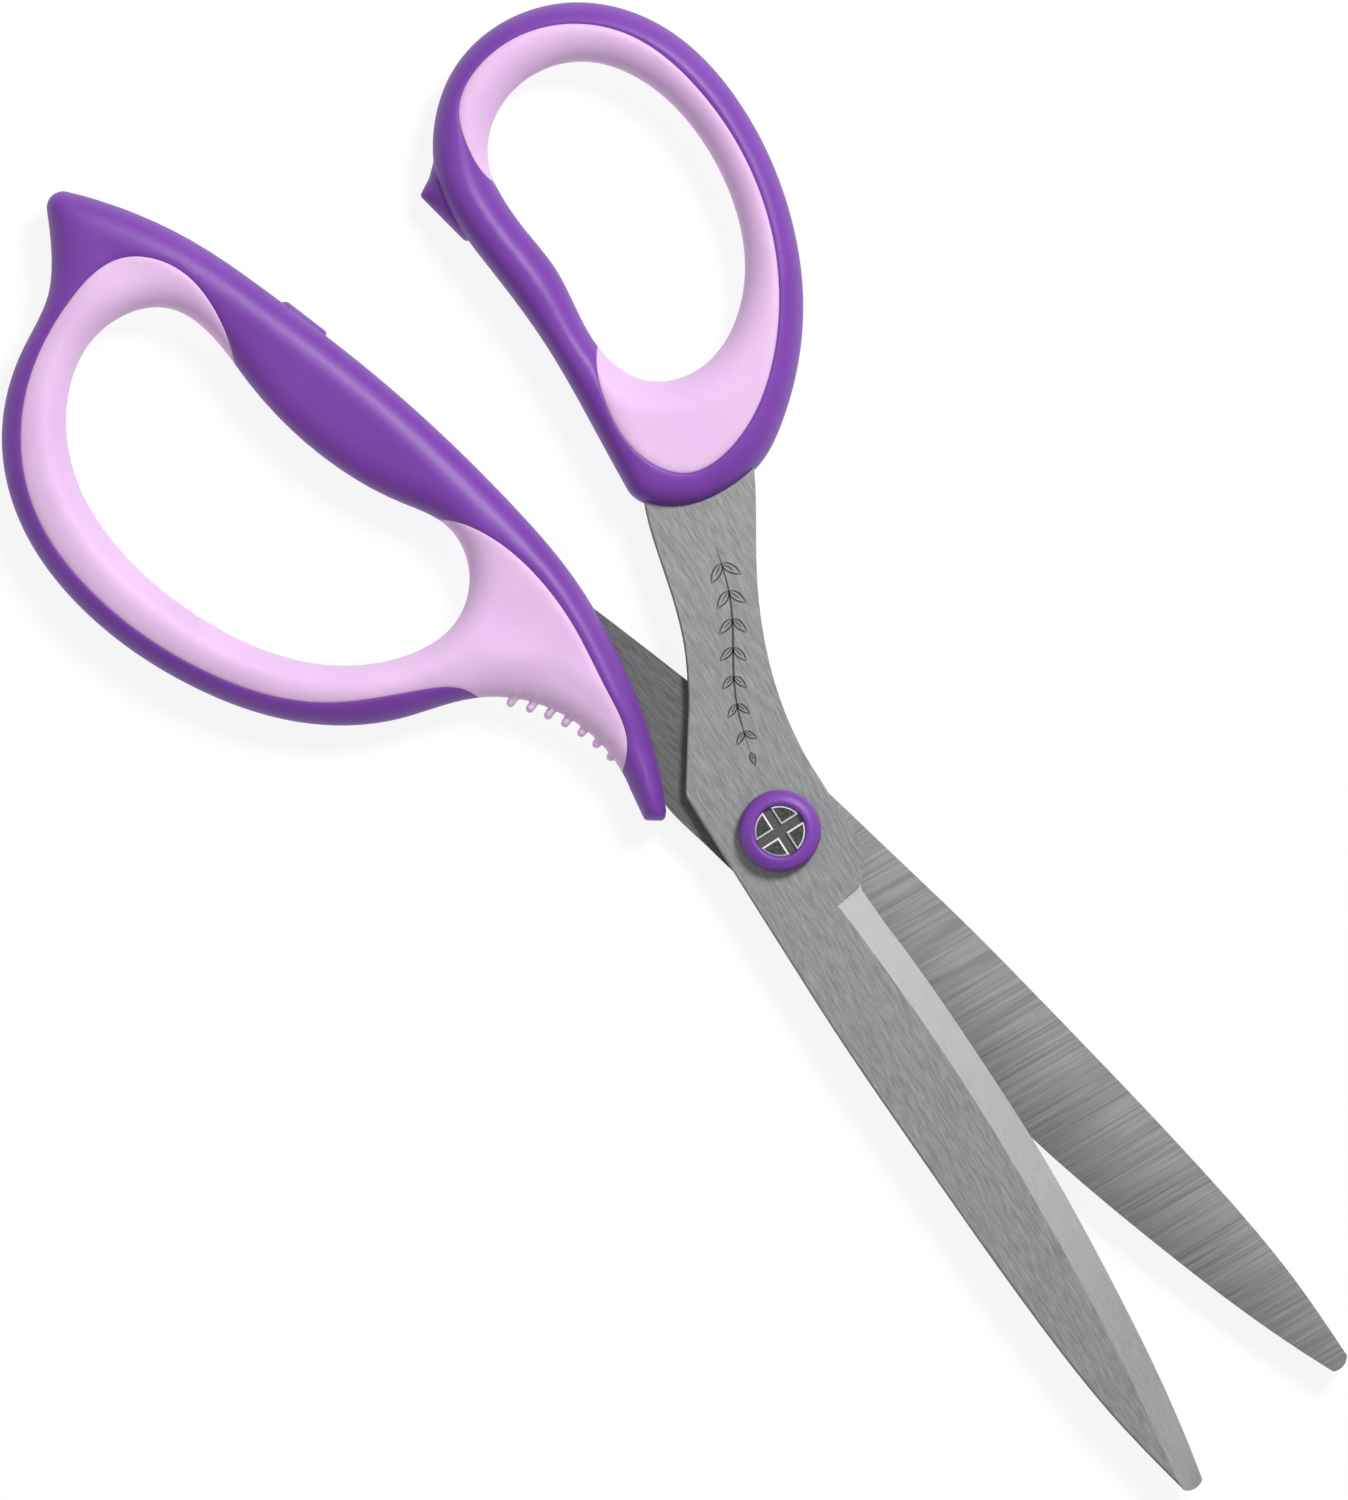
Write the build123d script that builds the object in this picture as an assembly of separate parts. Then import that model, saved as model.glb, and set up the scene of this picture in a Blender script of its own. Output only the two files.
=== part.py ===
from build123d import *
import os

# Scissors with overmoulded handles, lying flat: Z is up, the pivot axis is the Z axis, and X points
# towards the blade tips along the finger blade's centre line. All lengths are in millimetres.
# The thumb half is drawn shut, as a near mirror image of the finger half, and then turned open.

# Thickness and height
HANDLE_THICK = 11.0
MID_Z = HANDLE_THICK / 2
BLADE_THICK = 2.0
BLADE_GAP = 0.1
FINGER_BLADE_Z = MID_Z - BLADE_GAP / 2 - BLADE_THICK
THUMB_BLADE_Z = MID_Z + BLADE_GAP / 2
EDGE_THICK = 0.3
SPINE_ROUND = 0.3
SHOULDER_ROUND = 1.6
HEEL_ROUND = 2.0
CUT_MARGIN = 1.0

# Opening between the halves as the part lies, and how the finger blade is set in its handle, in degrees
REST_ANGLE = 13.9
FINGER_BLADE_SET = -0.15

# Handles
THUMB_RIM_ROUND = 2.6
FINGER_RIM_ROUND = 1.2
WEB_THICK = 5.2
WEB_INSET = 2.8
TAIL_ROUND = 0.8
STOP_ROUND = 0.5
STOP_LOW = 1.6
STOP_HIGH = 6.6
RIB_WIDTH = 1.25
RIB_ROOT = 3.0
RIB_LOW = 1.8
RIB_HIGH = HANDLE_THICK - RIB_LOW

# Pivot, from the rear nut's flat underside at Z = 0 up to the screw head
RUNNING_GAP = 0.05
NUT_HEAD_R = 4.2
NUT_HEAD_THICK = 1.5
NUT_KEY_R = 3.3
NUT_KEY_FLATS = 5.6
NUT_BARREL_R = 2.8
NUT_BORE_R = 1.55
SCREW_SHANK_R = NUT_BORE_R - RUNNING_GAP
SCREW_HEAD_R = 3.7
SCREW_HEAD_THICK = 1.5
SCREW_HEAD_CHAMFER = 0.25
SCREW_SLOT_WIDTH = 1.35
SCREW_SLOT_DEPTH = 0.7
SCREW_TOP_Z = 10.4
SCREW_TIP_Z = 1.0
COLLAR_R = 6.0
COLLAR_WALL_Z = 7.65
COLLAR_TOP_Z = 10.8
COLLAR_SEAT_R = 3.85
COLLAR_OUTER_ROUND = 1.5
COLLAR_INNER_ROUND = 0.6
COLLAR_FOOT_ROUND = 0.4
COLLAR_SEAT_Z = SCREW_TOP_Z - SCREW_HEAD_THICK - RUNNING_GAP
REAR_COLLAR_LOW_Z = 0.3
REAR_COLLAR_SEAT_R = 4.35
REAR_COLLAR_ROUND = 1.2

# Blade, drawn with its edge towards +Y and its spine towards -Y
BLADE_SPINE = [(25, -9.0), (45, -8.5), (60, -7.9), (80, -6.8), (90, -5.95), (100, -4.6), (112.8, -1.95)]
BLADE_TIP = (113.5, -0.25)
SPINE_SIDE_Y = -4.0
BLADE_EDGE = [(113.0, 1.15), (100, 3.5), (80, 5.7), (60, 6.9), (45, 6.88), (30, 6.45), (20, 5.75)]
BLADE_SHOULDER = [(20, 5.75), (13.5, 5.45), (9.0, 8.95), (-3, 9.0)]
BLADE_HEEL = (-11.8, -8.9)
# Bevel sections: X, Y of the cutting edge, Y of the line where the bevel meets the flat face
BEVEL_SECTIONS = [(10, 5.3, 0.9), (20, 5.75, 1.8), (30, 6.45, 2.4), (45, 6.88, 2.85), (60, 6.9, 2.65),
                  (80, 5.7, 1.6), (100, 3.5, -0.45), (116, 0.5, -2.35)]
BEVEL_MARGIN = 0.8
# The bevel starts at a slanted line between these two points, run on past the blade by a reach
BEVEL_START = [(12.7, 6.3), (13.8, 1.2)]
BEVEL_START_REACH = 9.0

# Tangs, from the shoulder and from the heel to the end buried in the handle
THUMB_TANG_UPPER = [(-3, 9.0), (-15, 10.1), (-25, 13.2), (-35, 18.25), (-45, 24.4), (-54, 28.0)]
THUMB_TANG_LOWER = [(-59, 14.5), (-50, 8.6), (-40, 5.8), (-30, 2.6), (-25, 0.0), (-20, -3.3)]
FINGER_TANG_UPPER = [(-3, 9.0), (-8, 9.0), (-13.5, 8.95), (-22, 7.4), (-32, 7.2), (-42, 8.6), (-50, 9.0)]
FINGER_TANG_LOWER = [(-50, -3.6), (-42, -4.7), (-32, -5.8), (-25, -6.5)]

# Thumb handle outlines, shut
THUMB_OUTER = [(-54, 8.0), (-66, 8.8), (-78, 9.3), (-90, 8.6), (-98, 7.9), (-106, 8.5), (-113.5, 12.4),
               (-119.5, 19.9), (-121.3, 28), (-118, 39.9), (-109, 48.3), (-92, 52.2), (-78, 50.5),
               (-62, 43.6), (-49.9, 32.1), (-46.95, 27.1), (-45.9, 20), (-48.4, 11.5)]
THUMB_HOLE = [(-102, 15.7), (-94, 15.8), (-87, 16.5), (-74, 15.6), (-66, 18.8), (-63.2, 26), (-70, 38.4),
              (-80, 43.3), (-90, 44.6), (-102, 42.4), (-110, 36.3), (-112.4, 28), (-109, 19.4)]
THUMB_PARTING = [(-100, 17.5), (-102, 15.7), (-108, 15.1), (-114, 17.2), (-117.5, 23), (-116.7, 35),
                 (-110, 43.4), (-98, 47.9), (-86, 48.4), (-70, 44.1), (-58, 35.6), (-51.2, 25),
                 (-51.2, 16.5), (-57, 12.2), (-66, 12.0), (-73.8, 15.5), (-75.5, 17.5)]
THUMB_STOP_FLANK = [(-112.0, 12.0), (-109.4, 9.6), (-107.9, 8.0)]
THUMB_STOP_FACE = [(-107.9, 8.0), (-106.5, 5.5), (-97.3, 7.5), (-96.5, 9.5)]

# Finger handle outlines
FINGER_TOP = [(-139.9, -4.3), (-132, -0.3), (-122, 3.1), (-107, 5.6), (-92, 7.2), (-77, 7.9), (-62, 7.6),
              (-47, 6.0), (-37, 3.2), (-27, -1.0), (-14, -9.3)]
FINGER_TAIL = [(-13.1, -10.5), (-15.3, -12.5), (-20, -10.65)]
FINGER_UNDER = [(-20, -10.65), (-24, -9.3), (-29, -8.8), (-34, -9.4), (-40, -11.8), (-45.6, -16.7),
                (-51.5, -26.5), (-62, -37.1), (-77, -44.0), (-95, -46.8), (-112, -43.6), (-122, -36.6),
                (-128.6, -25), (-131.2, -17.2), (-136.3, -11.2), (-139.8, -8.3)]
FINGER_HORN = (-140.9, -6.3)
FINGER_HOLE = [(-104.3, -5.6), (-92, -6.8), (-80, -5.5), (-73, -3.4), (-66, -1.3), (-59, -3.8), (-55.2, -11),
               (-57, -18.8), (-67, -29.8), (-80, -35.2), (-95, -36.9), (-109, -34.0), (-119, -25.7),
               (-122.1, -15.5), (-117.5, -6.5)]
FINGER_PARTING_REAR = [(-102, -7.5), (-104.3, -5.6), (-112, -1.8), (-120, -1.2), (-127, -5.8),
                       (-128.2, -15), (-122, -31.9), (-112, -40.5), (-97, -43.9), (-77, -41.0),
                       (-62, -33.2), (-52, -21.2), (-47.8, -16.9), (-43, -16.6)]
FINGER_PARTING_FRONT = [(-21.5, -12.5), (-22.5, -9.7), (-25.0, -6.0), (-32, -2.7), (-42, 0.8),
                        (-52, 2.5), (-62, 1.4), (-67.6, -1.6), (-69.5, -4.0)]
# Where the grip areas are carried past the outline and across the finger holes
FINGER_CUT_BELOW = [(-40, -30), (-24, -30)]
FINGER_CUT_HOLE = (-86, -20)
THUMB_CUT_HOLE = (-88, 30)
FINGER_PAD = [(-107.5, 4.0), (-105.4, 6.4), (-98.3, 7.15), (-96.5, 5.5)]
RIB_TIPS = [(-41.3, -14.2), (-38.7, -12.85), (-36.1, -11.75), (-33.5, -10.85), (-30.8, -10.25),
            (-28.1, -9.95), (-25.3, -9.85)]
RIB_LEAN = 8.0


def prism(face, low_z, high_z):
    """Straight wall solid over a face."""
    return Pos(0, 0, low_z) * extrude(face, high_z - low_z, dir=(0, 0, 1))


def round_plate(radius, low_z, high_z):
    """Plain disc between two levels."""
    return Pos(0, 0, (low_z + high_z) / 2) * Cylinder(radius, high_z - low_z)


def outline_face(lines):
    """Face inside a closed chain of lines and curves."""
    return make_face([edge for line in lines for edge in line.edges()])


def blade_face(tang_upper, tang_lower):
    """Blade outline with its edge towards +Y."""
    spine = Spline(*BLADE_SPINE, tangents=[(1, 0), (0.975, 0.222)])
    tip = ThreePointArc(BLADE_SPINE[-1], BLADE_TIP, BLADE_EDGE[0])
    edge = Spline(*BLADE_EDGE)
    shoulder = FilletPolyline(*BLADE_SHOULDER, radius=SHOULDER_ROUND)
    upper = Spline(*tang_upper)
    end = Line(tang_upper[-1], tang_lower[0])
    lower = Spline(*tang_lower)
    heel = FilletPolyline(tang_lower[-1], BLADE_HEEL, BLADE_SPINE[0], radius=HEEL_ROUND)
    return outline_face([spine, tip, edge, shoulder, upper, end, lower, heel])


def bevel_cutter():
    """Solid above the sloping bevel, for a blade that lies between Z = 0 and BLADE_THICK."""
    sections = []
    for x, edge_y, inner_y in BEVEL_SECTIONS:
        slope = (BLADE_THICK - EDGE_THICK) / (edge_y - inner_y)
        outer_y = edge_y + BEVEL_MARGIN
        low_z = EDGE_THICK - slope * BEVEL_MARGIN
        top_y = inner_y - BEVEL_MARGIN / slope
        high_z = BLADE_THICK + BEVEL_MARGIN
        corners = [(x, top_y, high_z), (x, outer_y, high_z), (x, outer_y, low_z)]
        sections.append(make_face(Polyline(*corners, close=True)))
    cutter = loft(sections)
    (x1, y1), (x2, y2) = BEVEL_START
    high_y = y1 + BEVEL_START_REACH
    low_y = y2 - BEVEL_START_REACH
    corners = [(x1, high_y), (x1, y1), (x2, y2), (x2, low_y), (0, low_y), (0, high_y)]
    behind = make_face(Polyline(*corners, close=True))
    return cutter - prism(behind, -CUT_MARGIN, BLADE_THICK + CUT_MARGIN)


def blade(tang_upper, tang_lower):
    """Blade between Z = 0 and BLADE_THICK, edge towards +Y and bevel on top."""
    solid = prism(blade_face(tang_upper, tang_lower), 0, BLADE_THICK)
    top_edges = solid.edges().group_by(Axis.Z)[-1]
    spine_edges = [e for e in top_edges if e.center().Y < SPINE_SIDE_Y and e.center().X > 0]
    solid = fillet(spine_edges, SPINE_ROUND)
    return solid - bevel_cutter()


def thumb_blade():
    """Upper blade, with a round pivot hole."""
    solid = Pos(0, 0, THUMB_BLADE_Z) * blade(THUMB_TANG_UPPER, THUMB_TANG_LOWER)
    hole_top = THUMB_BLADE_Z + BLADE_THICK + CUT_MARGIN
    return solid - round_plate(NUT_BARREL_R + RUNNING_GAP, THUMB_BLADE_Z - CUT_MARGIN, hole_top)


def nut_key(low_z, high_z):
    """Round bar with two flats that keeps the nut from turning in the finger blade."""
    height = high_z - low_z
    bar = Cylinder(NUT_KEY_R, height) & Box(2 * NUT_KEY_R, NUT_KEY_FLATS, height)
    return Pos(0, 0, (low_z + high_z) / 2) * bar


def finger_blade():
    """Lower blade, turned over so that its bevel faces down and its edge faces -Y."""
    solid = Rot(0, 0, FINGER_BLADE_SET) * Rot(180, 0, 0) * blade(FINGER_TANG_UPPER, FINGER_TANG_LOWER)
    solid = Pos(0, 0, FINGER_BLADE_Z + BLADE_THICK) * solid
    return solid - nut_key(FINGER_BLADE_Z - CUT_MARGIN, FINGER_BLADE_Z + BLADE_THICK + CUT_MARGIN)


def smooth_face(points):
    """Face inside one smooth closed curve."""
    return make_face(Spline(*points, periodic=True))


def finger_outer_face():
    """Outline of the finger handle, with its horn at the far end and its tail at the blade."""
    top = Spline(*FINGER_TOP)
    tail = FilletPolyline(FINGER_TOP[-1], *FINGER_TAIL, radius=TAIL_ROUND)
    under = Spline(*FINGER_UNDER)
    horn = ThreePointArc(FINGER_UNDER[-1], FINGER_HORN, FINGER_TOP[0])
    return outline_face([top, tail, under, horn])


def finger_parting_face():
    """Area of the soft grip on the finger handle, carried past the outline and into the hole."""
    rear = Spline(*FINGER_PARTING_REAR)
    below = Polyline(FINGER_PARTING_REAR[-1], *FINGER_CUT_BELOW, FINGER_PARTING_FRONT[0])
    front = Spline(*FINGER_PARTING_FRONT)
    across = Polyline(FINGER_PARTING_FRONT[-1], FINGER_CUT_HOLE, FINGER_PARTING_REAR[0])
    return outline_face([rear, below, front, across])


def thumb_parting_face():
    """Area of the soft grip on the thumb handle, carried into the hole."""
    around = Spline(*THUMB_PARTING)
    across = Polyline(THUMB_PARTING[-1], THUMB_CUT_HOLE, THUMB_PARTING[0])
    return outline_face([around, across])


def thumb_stop_face():
    """Outline of the thumb handle's stop wedge, from inside the ring out to its flat face."""
    flank = Spline(*THUMB_STOP_FLANK)
    face = FilletPolyline(*THUMB_STOP_FACE, radius=STOP_ROUND)
    root = Line(THUMB_STOP_FACE[-1], THUMB_STOP_FLANK[0])
    return outline_face([flank, face, root])


def ring(outer, hole, rim_round):
    """Handle blank with rounded rims."""
    blank = prism(outer - hole, 0, HANDLE_THICK)
    levels = blank.edges().group_by(Axis.Z)
    return fillet(levels[0] + levels[-1], rim_round)


def grown(points, growth):
    """Points moved out from the middle of their box by the same amount at each side of the box."""
    xs = [x for x, y in points]
    ys = [y for x, y in points]
    mid_x = (min(xs) + max(xs)) / 2
    mid_y = (min(ys) + max(ys)) / 2
    scale_x = 1 + growth / (max(xs) - mid_x)
    scale_y = 1 + growth / (max(ys) - mid_y)
    return [(mid_x + (x - mid_x) * scale_x, mid_y + (y - mid_y) * scale_y) for x, y in points]


def web(outer, hole_points, parting):
    """Thin plate of hard plastic that carries the soft grip, short of the edges that the grip wraps."""
    area = outer & parting
    area = area & Pos(-WEB_INSET / 2, WEB_INSET) * outer
    area = area - smooth_face(grown(hole_points, WEB_INSET))
    return prism(area, MID_Z - WEB_THICK / 2, MID_Z + WEB_THICK / 2)


def rib(tip):
    """One rib under the finger grip, with a round end."""
    x, y = tip
    half = RIB_WIDTH / 2
    bar = Pos(0, RIB_ROOT / 2) * Rectangle(RIB_WIDTH, RIB_ROOT) + Circle(half)
    area = Pos(x, y + half) * Rot(0, 0, RIB_LEAN) * bar
    return prism(area, RIB_LOW, RIB_HIGH)


def pivot_nut():
    """Barrel nut: flat head, keyed neck in the finger blade, round journal in the thumb blade."""
    nut = round_plate(NUT_HEAD_R, 0, NUT_HEAD_THICK)
    nut = chamfer(nut.edges().group_by(Axis.Z)[0], SCREW_HEAD_CHAMFER)
    nut += nut_key(NUT_HEAD_THICK, FINGER_BLADE_Z + BLADE_THICK)
    nut += round_plate(NUT_BARREL_R, NUT_HEAD_THICK, COLLAR_WALL_Z)
    return nut - round_plate(NUT_BORE_R, SCREW_TIP_Z - RUNNING_GAP, COLLAR_WALL_Z + CUT_MARGIN)


def pivot_screw():
    """Cross slotted screw that holds the halves together and sets how stiffly they turn."""
    head = round_plate(SCREW_HEAD_R, SCREW_TOP_Z - SCREW_HEAD_THICK, SCREW_TOP_Z)
    for angle in (0, 90):
        slot = Box(3 * SCREW_HEAD_R, SCREW_SLOT_WIDTH, 2 * SCREW_SLOT_DEPTH)
        head -= Pos(0, 0, SCREW_TOP_Z) * Rot(0, 0, angle) * slot
    head = chamfer(head.edges().group_by(Axis.Z)[-1], SCREW_HEAD_CHAMFER)
    head = Rot(0, 0, -REST_ANGLE) * head
    return head + round_plate(SCREW_SHANK_R, SCREW_TIP_Z, SCREW_TOP_Z - SCREW_HEAD_THICK)


def pivot_collar():
    """Upper collar, a rounded ring that the screw head sits in."""
    ring_body = round_plate(COLLAR_R, COLLAR_WALL_Z, COLLAR_TOP_Z)
    ring_body -= round_plate(COLLAR_SEAT_R, COLLAR_SEAT_Z, COLLAR_TOP_Z + CUT_MARGIN)
    rims = ring_body.edges().group_by(Axis.Z)[-1].sort_by(SortBy.LENGTH)
    ring_body = fillet(rims[-1:], COLLAR_OUTER_ROUND)
    rims = ring_body.edges().group_by(Axis.Z)[-1].sort_by(SortBy.LENGTH)
    ring_body = fillet(rims[:1], COLLAR_INNER_ROUND)
    ring_body = fillet(ring_body.edges().group_by(Axis.Z)[0], COLLAR_FOOT_ROUND)
    return ring_body - round_plate(SCREW_SHANK_R + RUNNING_GAP, 0, COLLAR_TOP_Z)


def rear_collar():
    """Lower collar, a rounded ring that the nut's head sits in."""
    low_z = REAR_COLLAR_LOW_Z
    ring_body = round_plate(COLLAR_R, low_z, FINGER_BLADE_Z)
    ring_body -= round_plate(REAR_COLLAR_SEAT_R, low_z - CUT_MARGIN, NUT_HEAD_THICK)
    rims = ring_body.edges().group_by(Axis.Z)[0].sort_by(SortBy.LENGTH)
    ring_body = fillet(rims[-1:], REAR_COLLAR_ROUND)
    ring_body = fillet(ring_body.edges().group_by(Axis.Z)[-1], COLLAR_FOOT_ROUND)
    return ring_body - nut_key(low_z - CUT_MARGIN, FINGER_BLADE_Z + CUT_MARGIN)


def finger_half():
    """Finger blade, hard handle and soft grip, as a dict of node names and solids."""
    steel = finger_blade()
    outer = finger_outer_face()
    hole = smooth_face(FINGER_HOLE)
    parting = finger_parting_face()
    blank = ring(outer, hole, FINGER_RIM_ROUND)
    soft = prism(parting, -CUT_MARGIN, HANDLE_THICK + CUT_MARGIN)
    core = web(outer, FINGER_HOLE, parting)
    pad = prism(make_face(Polyline(*FINGER_PAD, close=True)), STOP_LOW, STOP_HIGH)
    hard = blank - soft + core + pad - steel
    grip = blank & soft
    for tip in RIB_TIPS:
        grip += rib(tip)
    grip = grip - core - steel
    return {"finger_blade": steel, "finger_handle": hard, "finger_grip": grip}


def thumb_half():
    """Thumb blade, hard handle and soft grip, turned open from the shut position."""
    steel = thumb_blade()
    outer = smooth_face(THUMB_OUTER)
    hole = smooth_face(THUMB_HOLE)
    parting = thumb_parting_face()
    blank = ring(outer, hole, THUMB_RIM_ROUND)
    soft = prism(parting, -CUT_MARGIN, HANDLE_THICK + CUT_MARGIN)
    core = web(outer, THUMB_HOLE, parting)
    stop = prism(thumb_stop_face(), STOP_LOW, STOP_HIGH)
    hard = blank - soft + core + stop - steel
    grip = (blank & soft) - core - steel
    shut = {"thumb_blade": steel, "thumb_handle": hard, "thumb_grip": grip}
    return {name: Rot(0, 0, -REST_ANGLE) * solid for name, solid in shut.items()}


def pivot():
    """Screw, nut and the two collars."""
    return {
        "pivot_nut": pivot_nut(),
        "pivot_screw": pivot_screw(),
        "pivot_collar": pivot_collar(),
        "rear_collar": rear_collar(),
    }


os.makedirs("parts", exist_ok=True)
for node, shape in {**finger_half(), **thumb_half(), **pivot()}.items():
    export_step(shape, f"parts/{node}.step")
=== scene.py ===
import math

import bmesh
import bpy
import numpy as np
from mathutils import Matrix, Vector
from mathutils.geometry import delaunay_2d_cdt


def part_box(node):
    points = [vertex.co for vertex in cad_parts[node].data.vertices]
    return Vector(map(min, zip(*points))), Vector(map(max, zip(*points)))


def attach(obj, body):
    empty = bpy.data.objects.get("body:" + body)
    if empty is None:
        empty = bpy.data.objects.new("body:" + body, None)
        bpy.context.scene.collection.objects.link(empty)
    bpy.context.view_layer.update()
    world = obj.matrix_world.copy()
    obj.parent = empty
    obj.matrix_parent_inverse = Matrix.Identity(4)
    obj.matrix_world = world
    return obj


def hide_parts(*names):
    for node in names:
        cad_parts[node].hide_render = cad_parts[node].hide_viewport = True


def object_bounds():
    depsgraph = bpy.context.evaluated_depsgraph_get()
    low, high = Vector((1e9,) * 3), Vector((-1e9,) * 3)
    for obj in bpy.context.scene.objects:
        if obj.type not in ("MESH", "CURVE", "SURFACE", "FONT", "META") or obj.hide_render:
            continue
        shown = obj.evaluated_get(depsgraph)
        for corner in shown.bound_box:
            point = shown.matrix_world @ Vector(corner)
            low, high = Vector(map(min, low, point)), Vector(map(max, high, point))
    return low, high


# Scissors lying flat. Lengths in the shaping code are in millimetres, in the frame's own axes,
# and meshes are written in metres.
MM = 0.001

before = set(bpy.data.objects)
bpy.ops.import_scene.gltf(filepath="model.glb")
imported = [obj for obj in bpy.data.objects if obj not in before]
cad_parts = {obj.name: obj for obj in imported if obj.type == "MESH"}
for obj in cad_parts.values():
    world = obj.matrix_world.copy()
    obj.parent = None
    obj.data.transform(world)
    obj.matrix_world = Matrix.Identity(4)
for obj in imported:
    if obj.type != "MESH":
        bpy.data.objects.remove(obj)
CAD_LOW, CAD_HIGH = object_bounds()

# Levels and directions that the CAD gives
HANDLE_LOW, HANDLE_HIGH = (corner.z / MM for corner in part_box("finger_handle"))
HANDLE_MID = (HANDLE_LOW + HANDLE_HIGH) / 2
HANDLE_HALF = (HANDLE_HIGH - HANDLE_LOW) / 2
THUMB_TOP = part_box("thumb_blade")[1].z / MM
SCREW_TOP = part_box("pivot_screw")[1].z / MM
SCREW_RADIUS = (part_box("pivot_screw")[1].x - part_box("pivot_screw")[0].x) / 2 / MM
SECTION_Z = HANDLE_MID + HANDLE_HALF / 2
STOP_SECTION_Z = HANDLE_MID - 1.0

# How far the thumb half lies open
REST_TURN = math.radians(13.9)

# Camera: straight above, rolled so that the finger blade points down to the right
VIEW_CENTRE = Vector((-19.3, -2.1)) * MM
VIEW_HEIGHT = 219 * MM
VIEW_ROLL = math.radians(43.6)
CAMERA_HEIGHT = 1.6
SENSOR = 36


# Outlines from the CAD: spacing of fine samples, gap between outlines that run together, fewest samples in
# a run and fewest points in a loop, easing of rims and seams, and widest gap between ends that are joined
FINE = 0.1
SHARED_GAP = 0.07
SHORTEST_RUN = 6
FEWEST_POINTS = 8
RIM_SOFT = 0.1
SEAM_SOFT = 0.5
JOIN_GAP = 1.0

# Points picked along a fine line: widest and narrowest spacing, and the bend that calls for a point
WIDEST_STEP = 0.5
NARROWEST_STEP = 0.12
STEP_TURN = math.radians(9)

# Distances are worked out for this many points at a time
BATCH = 400


def section_loops(node, level):
    """Closed outlines of a CAD node where it crosses a level, as arrays of points in a fixed order."""
    work = bmesh.new()
    work.from_mesh(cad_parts[node].data)
    bmesh.ops.remove_doubles(work, verts=work.verts, dist=1e-6)
    everything = work.verts[:] + work.edges[:] + work.faces[:]
    cut = bmesh.ops.bisect_plane(work, geom=everything, plane_co=(0, 0, level * MM), plane_no=(0, 0, 1))
    near = {}
    for edge in cut["geom_cut"]:
        if isinstance(edge, bmesh.types.BMEdge):
            a, b = edge.verts
            near.setdefault(a, []).append(b)
            near.setdefault(b, []).append(a)
    loops = []
    used = set()
    for start in sorted(near, key=lambda v: tuple(v.co)):
        if start in used:
            continue
        chain = [start]
        step = min(near[start], key=lambda v: tuple(v.co))
        while step is not start:
            chain.append(step)
            ways = [v for v in near[step] if v is not chain[-2]]
            step = ways[0] if ways else start
        used.update(chain)
        loops.append(np.array([(v.co.x, v.co.y) for v in chain]) / MM)
    work.free()
    return [loop for loop in loops if len(loop) > FEWEST_POINTS]


def dense(points, step, closed=True):
    """Points spaced evenly along a line, about one step apart."""
    line = np.vstack([points, points[:1]]) if closed else np.asarray(points)
    reach = np.concatenate([[0], np.cumsum(np.linalg.norm(np.diff(line, axis=0), axis=1))])
    count = max(4, int(round(reach[-1] / step)))
    at = np.linspace(0, reach[-1], count + 1)
    even = np.column_stack([np.interp(at, reach, line[:, i]) for i in (0, 1)])
    return even[:-1] if closed else even


def softened(points, spread, step, closed=True):
    """The line with its corners and facets eased over a distance."""
    reach = int(3 * spread / step)
    weights = np.exp(-0.5 * (np.arange(-reach, reach + 1) * step / spread) ** 2)
    weights /= weights.sum()
    if closed:
        padded = np.vstack([points[-reach:], points, points[:reach]])
    else:
        before = 2 * points[0] - points[1:reach + 1][::-1]
        after = 2 * points[-1] - points[-reach - 1:-1][::-1]
        padded = np.vstack([before, points, after])
    return np.column_stack([np.convolve(padded[:, i], weights, "valid") for i in (0, 1)])


def segment_distance(points, starts, ends):
    """Distance from each point to the nearest of the segments."""
    nearest = np.full(len(points), 1e9)
    along = ends - starts
    length2 = np.maximum((along ** 2).sum(1), 1e-12)
    for low in range(0, len(points), BATCH):
        p = points[low:low + BATCH, None, :]
        t = np.clip(((p - starts) * along).sum(2) / length2, 0, 1)
        gap = np.linalg.norm(p - (starts + t[..., None] * along), axis=2)
        nearest[low:low + BATCH] = gap.min(1)
    return nearest


def loop_distance(points, loops):
    """Distance from each point to the nearest of the closed loops."""
    starts = np.vstack(loops)
    ends = np.vstack([np.roll(loop, -1, axis=0) for loop in loops])
    return segment_distance(points, starts, ends)


def runs(flags):
    """Index ranges of a closed row of flags, as (flag, indices), in order."""
    count = len(flags)
    changes = [i for i in range(count) if flags[i] != flags[i - 1]]
    if not changes:
        return [(bool(flags[0]), np.arange(count))]
    made = []
    for k, first in enumerate(changes):
        last = changes[(k + 1) % len(changes)]
        span = (last - first) % count or count
        made.append((bool(flags[first]), (first + np.arange(span)) % count))
    return made


def cleaned(flags, shortest):
    """Flags with runs shorter than a count turned over."""
    flags = flags.copy()
    for flag, where in runs(flags):
        if len(where) < shortest:
            flags[where] = not flag
    return flags


def joined(pieces):
    """Open lines joined end to end into closed loops, by nearest ends."""
    pieces = list(pieces)
    loops = []
    while pieces:
        chain = pieces.pop(0)
        while pieces:
            gaps = [(np.linalg.norm(chain[-1] - p[end]), k, end)
                    for k, p in enumerate(pieces) for end in (0, -1)]
            gap, k, end = min(gaps)
            if gap > np.linalg.norm(chain[-1] - chain[0]) or gap > JOIN_GAP:
                break
            piece = pieces.pop(k)
            chain = np.vstack([chain, piece if end == 0 else piece[::-1]])
        loops.append(chain)
    return loops


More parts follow.
